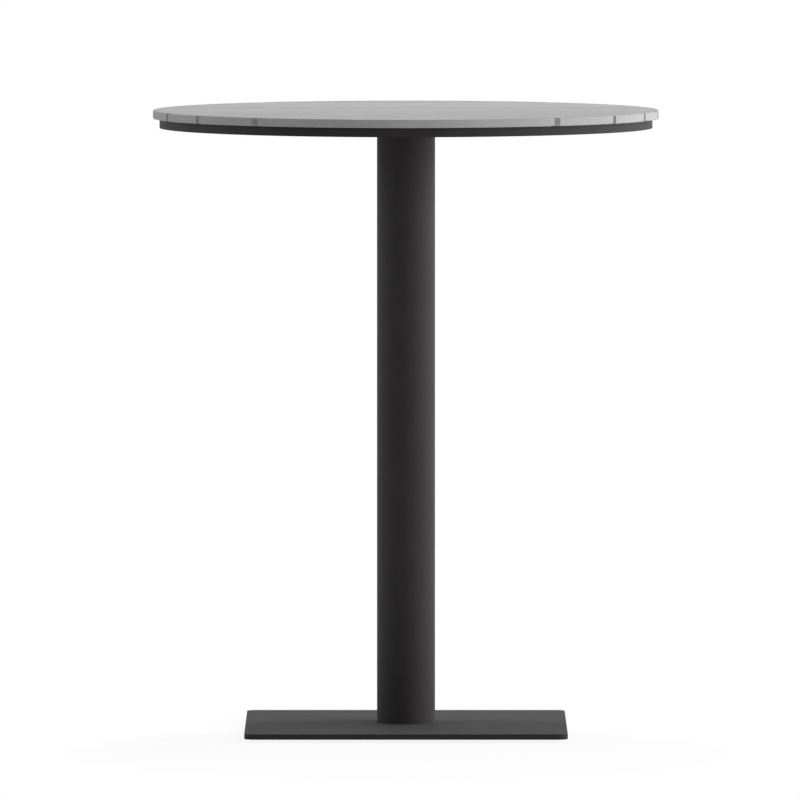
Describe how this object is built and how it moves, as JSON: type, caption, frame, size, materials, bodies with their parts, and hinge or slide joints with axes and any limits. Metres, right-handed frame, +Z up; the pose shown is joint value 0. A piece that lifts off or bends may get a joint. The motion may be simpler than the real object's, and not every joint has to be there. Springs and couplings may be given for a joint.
{
  "type": "round table",
  "caption": "Small round pedestal table: slatted grey top on a dark ring frame, plain tube column and square plate base on screw-levelled feet.",
  "frame": {"origin": "on the floor below the middle of the round top", "axes": "+Z up; X along the slats, +X to the right in the picture; -Y towards the viewer"},
  "size_m": [0.6, 0.6, 0.738],
  "materials": {
    "slat_lumber": "extruded grey polymer lumber, matt, with a fine lengthwise grain",
    "coated_aluminium": "matt charcoal powder coat on aluminium sections",
    "coated_steel": "matt charcoal powder coat on steel",
    "stainless_steel": "turned stainless steel screws",
    "blackened_steel": "black oxide on turned steel",
    "foot_nylon": "moulded black nylon"
  },
  "bodies": {
    "table": {"slat_1": "slat_lumber", "slat_2": "slat_lumber", "slat_3": "slat_lumber", "slat_4": "slat_lumber", "slat_5": "slat_lumber", "slat_6": "slat_lumber", "slat_7": "slat_lumber", "slat_8": "slat_lumber", "slat_9": "slat_lumber", "rim_ring": "coated_aluminium", "crossbar_left": "coated_aluminium", "crossbar_right": "coated_aluminium", "crossbar_nut_blocks": "coated_aluminium", "head_plate": "coated_steel", "column": "coated_steel", "column_foot_disc": "coated_steel", "base_plate": "coated_steel", "slat_screws": "stainless_steel", "head_bolts": "stainless_steel", "base_screws": "stainless_steel"},
    "pad_front_left": {"foot_pad_front_left": "foot_nylon"},
    "stud_front_left": {"foot_stud_front_left": "blackened_steel"},
    "pad_front_right": {"foot_pad_front_right": "foot_nylon"},
    "stud_front_right": {"foot_stud_front_right": "blackened_steel"},
    "pad_rear_left": {"foot_pad_rear_left": "foot_nylon"},
    "stud_rear_left": {"foot_stud_rear_left": "blackened_steel"},
    "pad_rear_right": {"foot_pad_rear_right": "foot_nylon"},
    "stud_rear_right": {"foot_stud_rear_right": "blackened_steel"}
  },
  "joints": [
    {"name": "front_left_foot_travel", "type": "slide", "parent": "table", "child": "pad_front_left", "axis": [0, 0, -1], "range_m": [0, 0.0025]},
    {"name": "front_left_foot_turn", "type": "hinge", "parent": "pad_front_left", "child": "stud_front_left", "pos_m": [-0.125, -0.125, 0], "axis": [0, 0, -1], "range_deg": [0, 720]},
    {"name": "front_right_foot_travel", "type": "slide", "parent": "table", "child": "pad_front_right", "axis": [0, 0, -1], "range_m": [0, 0.0025]},
    {"name": "front_right_foot_turn", "type": "hinge", "parent": "pad_front_right", "child": "stud_front_right", "pos_m": [0.125, -0.125, 0], "axis": [0, 0, -1], "range_deg": [0, 720]},
    {"name": "rear_left_foot_travel", "type": "slide", "parent": "table", "child": "pad_rear_left", "axis": [0, 0, -1], "range_m": [0, 0.0025]},
    {"name": "rear_left_foot_turn", "type": "hinge", "parent": "pad_rear_left", "child": "stud_rear_left", "pos_m": [-0.125, 0.125, 0], "axis": [0, 0, -1], "range_deg": [0, 720]},
    {"name": "rear_right_foot_travel", "type": "slide", "parent": "table", "child": "pad_rear_right", "axis": [0, 0, -1], "range_m": [0, 0.0025]},
    {"name": "rear_right_foot_turn", "type": "hinge", "parent": "pad_rear_right", "child": "stud_rear_right", "pos_m": [0.125, 0.125, 0], "axis": [0, 0, -1], "range_deg": [0, 720]}
  ],
  "couplings": [
    {"joint": "front_left_foot_travel", "follows": "front_left_foot_turn", "m_per_rad": 0.00019894},
    {"joint": "front_right_foot_travel", "follows": "front_right_foot_turn", "m_per_rad": 0.00019894},
    {"joint": "rear_left_foot_travel", "follows": "rear_left_foot_turn", "m_per_rad": 0.00019894},
    {"joint": "rear_right_foot_travel", "follows": "rear_right_foot_turn", "m_per_rad": 0.00019894}
  ]
}
